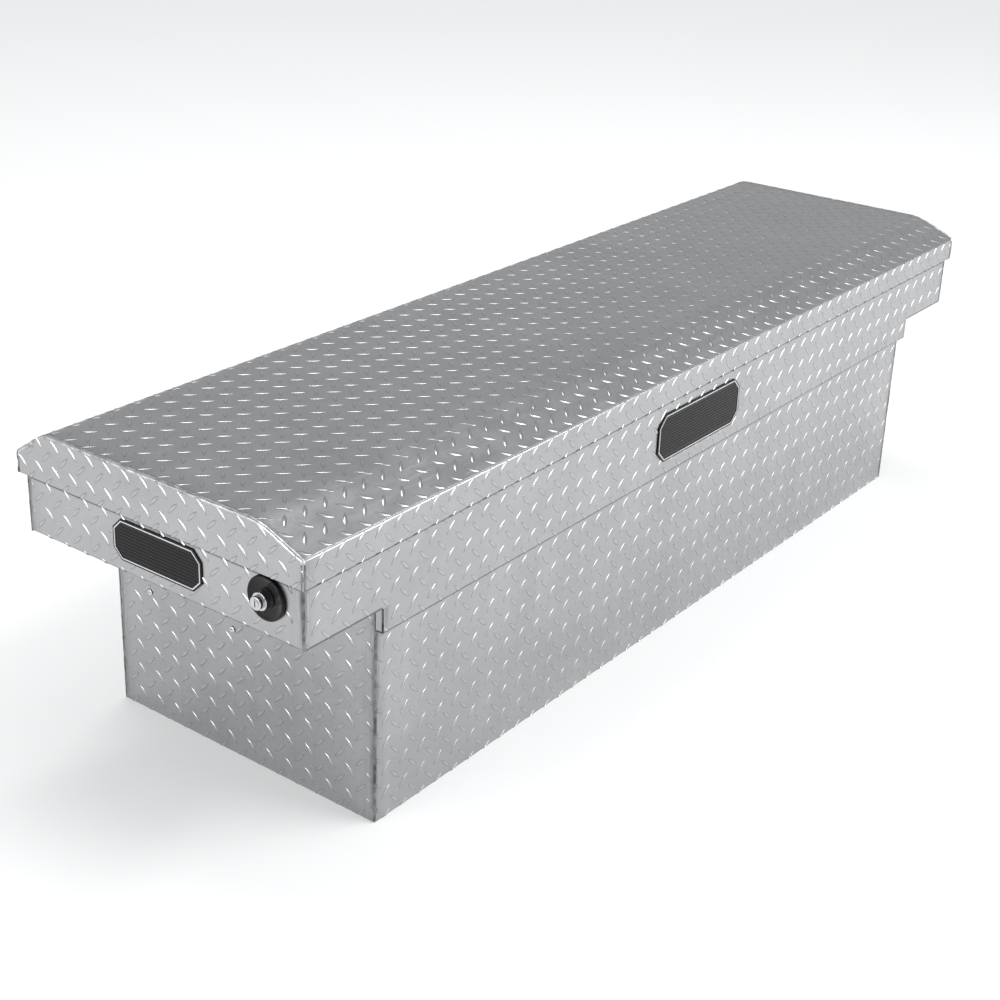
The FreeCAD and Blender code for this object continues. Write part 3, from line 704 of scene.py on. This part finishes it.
def make_end(side, place):
    """The tub's end and the saddle above it, which has the lock's hole."""
    low = END_LOW.y
    high = END_HIGH.y
    plate = Path([(TUB_X, 0), (TUB_X, LEDGE_Z)], [0, 0], -1)
    ends = np.tile([low, high], (len(plate.s), 1))
    middle = (low + high) / 2
    ground = ground_near((high - low) / 2)
    piece = tread_sheet(side + "_end_tread", plate, ends, END_LATTICE, place,
                        ground=lambda u, s: ground(u - middle, s))
    place_piece(piece, "tub", "tread_plate", [side + "_tub_end"])
    corners = [(TUB_X, LEDGE_Z), (BODY_X, LEDGE_Z), (BODY_X, RIM_Z), (BODY_X - RIM_FLANGE, RIM_Z)]
    shell = Path(corners, [0, OUTER_BEND, OUTER_BEND, 0], -1)
    inset = np.where(shell.b > (LEDGE_Z + RIM_Z) / 2, flange_inset(shell), 0.0)
    mitre = np.maximum(SHEET, inset + RAISE)
    ends = np.stack([BAND_Y + mitre, BACK_Y - mitre], axis=1)
    sleeve_low, sleeve_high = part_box(side + "_lock_sleeve")
    lock_z = (sleeve_low.z + sleeve_high.z) / 2
    below = np.argmax(shell.b > lock_z) - 1
    hole = ((sleeve_low.y + sleeve_high.y) / 2, shell.s[below] + lock_z - shell.b[below],
            (sleeve_high.z - sleeve_low.z) / 2)
    piece = tread_sheet(side + "_saddle_tread", shell, ends, END_LATTICE, place,
                        ground=lambda u, s: ground(u - middle, s), hole=hole)
    place_piece(piece, "tub", "tread_plate", [side + "_saddle"])


def make_lid_skin():
    """The lid's bent skin between the two caps."""
    ends = np.tile([-CAP_LOW.x, CAP_LOW.x], (len(LID_OUTLINE.s), 1))
    piece = tread_sheet("lid_tread", LID_OUTLINE, ends, LID_LATTICE, along_x,
                        ground=ground_near(CAP_X))
    place_piece(piece, "lid", "tread_plate", ["lid_skin"])


def push_inside(ring, u, s):
    """Moves points that lie outside a convex ring onto it. Also says how far out they were."""
    centre = ring.mean(axis=0)
    farthest = np.zeros_like(u)
    for start, end in zip(ring, np.roll(ring, -1, axis=0)):
        along = end - start
        length = np.hypot(*along)
        if length < SAME_POINT:
            continue
        normal = np.array([along[1], -along[0]]) / length
        if normal @ (start - centre) < 0:
            normal = -normal
        over = np.maximum((u - start[0]) * normal[0] + (s - start[1]) * normal[1], 0)
        u = u - over * normal[0]
        s = s - over * normal[1]
        farthest = np.maximum(farthest, over)
    return u, s, farthest


def make_cap(side, sign):
    """The flat plate that closes one end of the lid."""
    ring = np.stack(LID_OUTLINE.at(LID_OUTLINE.s, -RAISE), axis=1)
    count = len(ring)
    face_x = CAP_X - RAISE
    plate = [(x, y, z) for x in (face_x, CAP_LOW.x) for y, z in ring]
    faces = [tuple(range(count)), tuple(range(2 * count - 1, count - 1, -1))]
    for i in range(count):
        after = (i + 1) % count
        faces.append((i, after, count + after, count + i))
    low = ring.min(axis=0)
    high = ring.max(axis=0)
    centres = CAP_LATTICE.centres(low[0], high[0], low[1], high[1])
    outside = push_inside(ring, centres[:, 0], centres[:, 1])[2]
    centres = centres[outside < LOZENGE_HALF_LENGTH * CAP_OVERHANG]
    studs, stud_faces = spread_lozenges(centres, lambda u, s: push_inside(ring, u, s)[:2])
    studs = np.stack([CAP_X + studs[:, 2], studs[:, 0], studs[:, 1]], axis=1)
    points = np.concatenate([plate, studs]) * (sign, 1, 1)
    faces += (stud_faces + 2 * count).tolist()
    piece = new_mesh(side + "_cap_tread", points, faces)
    write_shares(piece, "tread_height", np.clip(1 + (np.abs(points[:, 0]) - CAP_X) / RAISE, 0, 1))
    place_piece(piece, "lid", "tread_plate", [side + "_lid_cap"])


# ---- welds ----
CORNER_BEAD = 0.0024           # radii of the beads
LID_BEAD = 0.0035
PATCH_BEAD = 0.0014
SKIRT_SEAM = 0.015             # height of the skirts' duller corner seams
BEAD_STEP = 0.0025
BEAD_SIDES = 12
BEAD_RIPPLE = 120              # ripples per metre along a bead, roughly
BEAD_ROUND_RIPPLE = 0.8        # and how much they differ round it
BEAD_SHARE = 0.9               # a bead's radius is this share of the full one,
BEAD_SWELL = 0.16              # more or less by up to this
BEAD_SEED_STEP = 7.3


def bead(points, radius, seed):
    """An uneven rounded bead along straight runs: points and faces of a closed tube."""
    line = []
    for start, end in zip(points, points[1:]):
        start = Vector(start)
        run = Vector(end) - start
        count = max(1, round(run.length / BEAD_STEP))
        line += [start + run * i / count for i in range(count)]
    line.append(Vector(points[-1]))
    rings = []
    for i, here in enumerate(line):
        along = (line[min(i + 1, len(line) - 1)] - line[max(i - 1, 0)]).normalized()
        side = (side - along * side.dot(along) if i else along.orthogonal()).normalized()
        up = along.cross(side)
        for k in range(BEAD_SIDES):
            turn = 2 * math.pi * k / BEAD_SIDES
            out = side * math.cos(turn) + up * math.sin(turn)
            bump = noise.noise(here * BEAD_RIPPLE + out * BEAD_ROUND_RIPPLE + Vector((seed, 0, 0)))
            rings.append(here + out * radius * (BEAD_SHARE + BEAD_SWELL * bump))
    faces = [tuple(range(BEAD_SIDES))]
    for i in range(len(line) - 1):
        for k in range(BEAD_SIDES):
            first = i * BEAD_SIDES + k
            after = i * BEAD_SIDES + (k + 1) % BEAD_SIDES
            faces.append((first, after, after + BEAD_SIDES, first + BEAD_SIDES))
    last = (len(line) - 1) * BEAD_SIDES
    faces.append(tuple(range(last + BEAD_SIDES - 1, last - 1, -1)))
    return rings, faces


def make_beads(name, body, runs, radius, material):
    """One piece of beads along several runs of points."""
    beads = [bead(run, radius, seed * BEAD_SEED_STEP) for seed, run in enumerate(runs)]
    piece = new_mesh(name, *join(beads), smooth_angle=60)
    place_piece(piece, body, "plain_aluminium", material=material)


def corner_runs(sign):
    """The upright seams at one end of the box: two on the tub, two on the body above it."""
    r = CORNER_BEAD
    tub = sign * (TUB_X - r)
    body = sign * (BODY_X - r)
    return [
        [(tub, WALL_Y + r, r), (tub, WALL_Y + r, STEP_Z)],
        [(tub, BACK_Y - r, r), (tub, BACK_Y - r, LEDGE_Z)],
        [(body, BAND_Y + r, LEDGE_Z + r), (body, BAND_Y + r, RIM_Z - r)],
        [(body, BACK_Y - r, LEDGE_Z + r), (body, BACK_Y - r, RIM_Z - r)],
    ]


def gusset_runs(sign):
    """The four seams round a step gusset."""
    r = PATCH_BEAD
    x = sign * (TUB_X - r / 2)
    low, high = ((x, BAND_Y + 2 * r, z) for z in (STEP_Z + 1.5 * r, LEDGE_Z - r))
    wall_low, wall_high = ((x, WALL_Y + r, z) for z in (STEP_Z + 1.5 * r, LEDGE_Z - r))
    return [[low, high], [high, wall_high], [wall_high, wall_low], [wall_low, low]]


def cap_runs(sign):
    """The seams between a cap and the skin: top and back slope, front slope, two skirts."""
    y, z = LID_OUTLINE.at(LID_OUTLINE.s, -LID_BEAD)
    run = [(sign * (CAP_X - LID_BEAD), *point) for point in zip(y, z)]
    above = np.nonzero(z > SKIRT_Z + SKIRT_SEAM)[0]
    top = np.nonzero(y > LID_LOW.y + FRONT_SLOPE_DEPTH)[0][0]
    return (run[top:above[-1] + 1], run[above[0]:top + 1],
            [run[:above[0] + 1], run[above[-1]:]])


def make_welds():
    left_top, left_slope, left_skirts = cap_runs(-1)
    right_top, right_slope, right_skirts = cap_runs(1)
    make_beads("tub_welds", "tub", corner_runs(-1) + corner_runs(1), CORNER_BEAD, SEAM_WELD)
    make_beads("step_welds", "tub", gusset_runs(-1) + gusset_runs(1), PATCH_BEAD, PATCH_WELD)
    make_beads("lid_welds", "lid", [left_top, right_top], LID_BEAD, EDGE_WELD)
    make_beads("slope_welds", "lid", [left_slope, right_slope], LID_BEAD, LID_WELD)
    make_beads("skirt_welds", "lid", left_skirts + right_skirts, LID_BEAD, SEAM_WELD)


# ---- turned pieces ----
DISH_SIDES = 72
DISH_RIM = 0.0022              # radius of the dish's rolled rim
# The dish's face as (distance below the rim's top, distance inside its edge)
DISH_FALL = [(0.0006, 0.0035), (0.0016, 0.0060), (0.0024, 0.0095), (0.0029, 0.0135)]
# The collar in its middle as (height, distance outside the sleeve)
DISH_COLLAR = [(0.0017, 0.0024), (0.0016, 0.0015), (0.0030, 0.0011), (0.0032, 0.0003), (0.0032, 0)]
ARC_STEPS = 6
RIVET_SIDES = 32
# A blind rivet's bulb as (depth behind the sheet, radius)
RIVET_BULB = [(0.0035, 0.0006), (0.0035, 0.0022), (0.0026, 0.0032), (0, 0.0032), (0, 0.0018)]
RIVET_SHANK = 0.0018
RIVET_CREST = 0.0019           # radius of the ring where the head is highest
DOME_STEPS = 6
DOME_POWER = 0.8               # below 1 the head is fuller than an ellipse
# The broken pin's dimple as (depth below the head's top, radius)
RIVET_DIMPLE = [(0.0002, 0.0015), (0.0012, 0.0013), (0.0013, 0.0007), (0.0009, 0.0006)]


def lathe(outline, centre, sign, sides):
    """A solid turned round a line along X: points and faces. The outline is closed.

    outline holds (x, radius) points in metres, x measured outwards from the box.
    """
    points = []
    for k in range(sides):
        turn = 2 * math.pi * k / sides
        for x, radius in outline:
            points.append((sign * x, centre[0] + radius * math.cos(turn),
                           centre[1] + radius * math.sin(turn)))
    count = len(outline)
    faces = []
    for k in range(sides):
        first = k * count
        after = (k + 1) % sides * count
        for i in range(count):
            j = (i + 1) % count
            faces.append((first + i, first + j, after + j, after + i))
    return points, faces


def arc(centre, radius, start, end):
    """Points of an arc in an outline, angles in degrees from the x direction."""
    turns = [math.radians(start + (end - start) * k / ARC_STEPS) for k in range(ARC_STEPS + 1)]
    return [(centre[0] + radius * math.cos(t), centre[1] + radius * math.sin(t)) for t in turns]


def make_dish(side, sign):
    """The black cup round the button: rolled rim, falling face and a low collar."""
    low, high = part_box(side + "_lock_dish")
    sleeve_low, sleeve_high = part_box(side + "_lock_sleeve")
    edge = (high.z - low.z) / 2
    hub = (sleeve_high.z - sleeve_low.z) / 2
    depth = high.x - low.x
    base = min(abs(low.x), abs(high.x))
    outline = [(0, hub), (0, edge), (depth - DISH_RIM, edge)]
    outline += arc((depth - DISH_RIM, edge - DISH_RIM), DISH_RIM, 90, 20)
    outline += [(depth - below, edge - inside) for below, inside in DISH_FALL]
    outline += [(height, hub + outside) for height, outside in DISH_COLLAR]
    outline = [(base + x, radius) for x, radius in outline]
    centre = ((low.y + high.y) / 2, (low.z + high.z) / 2)
    piece = new_mesh(side + "_dish", *lathe(outline, centre, sign, DISH_SIDES))
    place_piece(piece, "tub", "black_plastic", [side + "_lock_dish"])


def end_rivet(centre, radius, height, sign):
    """A blind rivet: domed head with the broken pin's dimple, and its bulb inside."""
    outline = [(TUB_X - SHEET - depth, bulb) for depth, bulb in RIVET_BULB]
    outline += [(TUB_X, RIVET_SHANK), (TUB_X, radius)]
    for k in range(1, DOME_STEPS + 1):
        turn = math.radians(90 * k / DOME_STEPS)
        outline.append((TUB_X + height * math.sin(turn) ** DOME_POWER,
                        RIVET_CREST + (radius - RIVET_CREST) * math.cos(turn)))
    outline += [(TUB_X + height - depth, dimple) for depth, dimple in RIVET_DIMPLE]
    return lathe(outline, centre, sign, RIVET_SIDES)


def make_end_rivets():
    """Two rivets on each tub end, in one piece as in their node."""
    low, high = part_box("end_rivets")
    radius = (high.z - low.z) / 2
    height = high.x - TUB_X
    parts = []
    for sign in (-1, 1):
        for y in (low.y + radius, high.y - radius):
            parts.append(end_rivet((y, (low.z + high.z) / 2), radius, height, sign))
    piece = new_mesh("end_rivet_heads", *join(parts))
    place_piece(piece, "tub", "rivet_metal", ["end_rivets"])


# ---- badges ----
FRONT_BADGE_CORNER = 0.018
END_BADGE_CORNER = 0.015
BADGE_CORNERS = 8
BADGE_EDGE = 0.0005
FACE_DROP = 0.0002             # the face lies this far below the bright line's top
LINE_START = 0.0024            # the bright line runs inside the badge's edge
LINE_WIDTH = 0.0016
LINE_FOOT = 0.0006             # depth of the line's foot below its top
WELL_GAP = 0.0016              # from the line to the sunk centre
WELL_SLOPE = 0.0004
WELL_DEPTH = 0.0007
RIB_GAP = 0.0030               # from the centre's edge to the ribs
RIB_STEP = 0.0046
RIB_HALF = 0.0013
RIB_TOP_SHARE = 0.45           # a rib's width at its top
RIB_END_SLOPE = 0.0008
RIB_DEPTHS = (0.0008, 0.0001)  # a rib's foot and top below the line's top


def cut_rectangle(half_width, half_height, corner, inset):
    """A rectangle with cut corners, moved inwards by the inset."""
    w = half_width - inset
    h = half_height - inset
    c = corner - inset * (2 - math.sqrt(2))
    return [(-w, -h + c), (-w + c, -h), (w - c, -h), (w, -h + c),
            (w, h - c), (w - c, h), (-w + c, h), (-w, h - c)]


def stepped_plate(size, steps):
    """A plate whose outline moves inwards step by step; steps holds (inset, height)."""
    points = []
    for inset, height in steps:
        points += [(u, v, height) for u, v in cut_rectangle(*size, inset)]
    count = BADGE_CORNERS
    faces = [tuple(range(count))]
    for ring in range(len(steps) - 1):
        for k in range(count):
            first = ring * count + k
            after = ring * count + (k + 1) % count
            faces.append((first, after, after + count, first + count))
    last = count * (len(steps) - 1)
    faces.append(tuple(range(last + count - 1, last - 1, -1)))
    return points, faces


def loop_band(size, inset, width, low, high):
    """The bright line: a closed low frame with cut corners."""
    rings = [(inset, low), (inset, high), (inset + width, high), (inset + width, low)]
    points = []
    for offset, height in rings:
        points += [(u, v, height) for u, v in cut_rectangle(*size, offset)]
    faces = []
    for ring in range(len(rings)):
        first = ring * BADGE_CORNERS
        below = (ring + 1) % len(rings) * BADGE_CORNERS
        for k in range(BADGE_CORNERS):
            after = (k + 1) % BADGE_CORNERS
            faces.append((first + k, first + after, below + after, below + k))
    return points, faces


def rib(half_length, v, low, high):
    """A low ridge with sloping sides and ends."""
    points = []
    for half, reach, height in ((RIB_HALF, half_length, low),
                                (RIB_HALF * RIB_TOP_SHARE, half_length - RIB_END_SLOPE, high)):
        points += [(-reach, v - half, height), (reach, v - half, height),
                   (reach, v + half, height), (-reach, v + half, height)]
    faces = [(0, 1, 2, 3), (7, 6, 5, 4)]
    faces += [(k, (k + 1) % 4, 4 + (k + 1) % 4, 4 + k) for k in range(4)]
    return points, faces


def make_badge(node, corner, place):
    """A plain black plate with a bright line near its edge and a ribbed centre.

    place turns (u, v, height) on the badge and its node's box into a point.
    """
    low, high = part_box(node)
    size = high - low
    half_width = max(size.x, size.y) / 2
    half_height = size.z / 2
    thick = min(size.x, size.y)
    shape = (half_width, half_height, corner)
    well = LINE_START + LINE_WIDTH + WELL_GAP
    steps = [(0, 0), (0, thick - BADGE_EDGE), (BADGE_EDGE, thick - FACE_DROP),
             (well, thick - FACE_DROP), (well + WELL_SLOPE, thick - WELL_DEPTH)]
    parts = [stepped_plate(shape, steps)]
    count = int((half_height - well - RIB_GAP) // RIB_STEP)
    for k in range(-count, count + 1):
        v = k * RIB_STEP
        cut = max(0.0, abs(v) + RIB_HALF - (half_height - corner))
        half_length = half_width - well - RIB_GAP - cut
        parts.append(rib(half_length, v, *(thick - depth for depth in RIB_DEPTHS)))
    line = loop_band(shape, LINE_START, LINE_WIDTH, thick - LINE_FOOT, thick)
    for name, slot, (points, faces), replaced in (("_plate", "badge_face", join(parts), [node]),
                                                  ("_line", "rivet_metal", line, [])):
        moved = [place(*point, low, high) for point in points]
        piece = new_mesh(node + name, moved, faces, smooth_angle=20)
        place_piece(piece, "tub", slot, replaced)


def on_front(u, v, height, low, high):
    return ((low.x + high.x) / 2 + u, high.y - height, (low.z + high.z) / 2 + v)


def on_right(u, v, height, low, high):
    return (low.x + height, (low.y + high.y) / 2 + u, (low.z + high.z) / 2 + v)


def on_left(u, v, height, low, high):
    return (high.x - height, (low.y + high.y) / 2 + u, (low.z + high.z) / 2 + v)


# ---- camera, floor and light ----
CAMERA_PLACE = (-2.21074, -1.49535, 1.36806)
CAMERA_AZIMUTH = math.radians(-52.252)
CAMERA_ELEVATION = math.radians(23.250)
CAMERA_ROLL = math.radians(1.600)
CAMERA_LENS = 62.556
CAMERA_SENSOR = 36.0
CAMERA_SHIFT = (0.04, -0.05)
FLOOR_HALF = 40.0
SUN_AIM = (-0.55, 0.45, -1.0)


def make_camera():
    """The view that was fitted to the box: azimuth from the front, elevation, roll, shift."""
    data = bpy.data.cameras.new("camera")
    data.sensor_width = CAMERA_SENSOR
    data.lens = CAMERA_LENS
    data.shift_x, data.shift_y = CAMERA_SHIFT
    back = Vector((math.sin(CAMERA_AZIMUTH) * math.cos(CAMERA_ELEVATION),
                   -math.cos(CAMERA_AZIMUTH) * math.cos(CAMERA_ELEVATION),
                   math.sin(CAMERA_ELEVATION)))
    right = Vector((0, 0, 1)).cross(back).normalized()
    up = back.cross(right)
    level = Matrix((right, up, back)).transposed().to_4x4()
    camera = bpy.data.objects.new("camera", data)
    camera.matrix_world = (Matrix.Translation(CAMERA_PLACE) @ level
                           @ Matrix.Rotation(CAMERA_ROLL, 4, "Z"))
    bpy.context.scene.collection.objects.link(camera)
    bpy.context.scene.camera = camera


def make_floor():
    """A plain pale floor that glows faintly, so that shadows stay light."""
    mesh = bpy.data.meshes.new("floor")
    r = FLOOR_HALF
    mesh.from_pydata([(-r, -r, 0), (r, -r, 0), (r, r, 0), (-r, r, 0)], [], [(0, 1, 2, 3)])
    floor = bpy.data.objects.new("floor", mesh)
    bpy.context.scene.collection.objects.link(floor)
    m = Shader("studio_floor", (0.86, 0.86, 0.86), roughness=0.9)
    m.set("Emission Color", (1.0, 1.0, 1.0, 1.0))
    m.set("Emission Strength", 0.2)
    mesh.materials.append(m.material)


def softbox(name, place, aim, size, power):
    """A rectangular light that the camera itself does not see."""
    data = bpy.data.lights.new(name, "AREA")
    data.shape = "RECTANGLE"
    data.size, data.size_y = size
    data.energy = power
    light = bpy.data.objects.new(name, data)
    light.location = place
    light.rotation_euler = (Vector(aim) - Vector(place)).to_track_quat("-Z", "Y").to_euler()
    light.visible_camera = False
    bpy.context.scene.collection.objects.link(light)


def make_light():
    """A bright surround, a soft sun, and a softbox where each face's lozenges mirror it."""
    world = bpy.data.worlds.new("studio")
    world.use_nodes = True
    background = world.node_tree.nodes["Background"].inputs
    background["Color"].default_value = (0.97, 0.985, 1.0, 1)
    background["Strength"].default_value = 0.60
    bpy.context.scene.world = world
    bpy.context.scene.view_settings.view_transform = "Standard"
    softbox("front_box", (1.7, -4.0, 1.0), (0.3, -0.25, 0.3), (3.6, 0.95), 90)
    softbox("left_box", (-4.4, 0.9, 0.9), (-0.9, 0, 0.35), (2.6, 0.8), 64)
    softbox("slope_box", (1.1, -2.3, 4.2), (0, 0, 0.4), (2.8, 0.7), 52)
    softbox("rear_box", (0.66, 1.35, 4.8), (0, 0, 0.4), (2.8, 0.85), 48)
    data = bpy.data.lights.new("sky_sun", "SUN")
    data.energy = 0.3
    data.angle = math.radians(50)
    sun = bpy.data.objects.new("sky_sun", data)
    sun.rotation_euler = Vector(SUN_AIM).to_track_quat("-Z", "Y").to_euler()
    bpy.context.scene.collection.objects.link(sun)


paint_cad_nodes()
make_front()
make_back()
make_end("right", along_y)
make_end("left", along_y_left)
make_lid_skin()
make_cap("right", 1)
make_cap("left", -1)
make_welds()
make_dish("right", 1)
make_dish("left", -1)
make_end_rivets()
make_badge("front_badge", FRONT_BADGE_CORNER, on_front)
make_badge("right_end_badge", END_BADGE_CORNER, on_right)
make_badge("left_end_badge", END_BADGE_CORNER, on_left)
make_camera()
make_floor()
make_light()
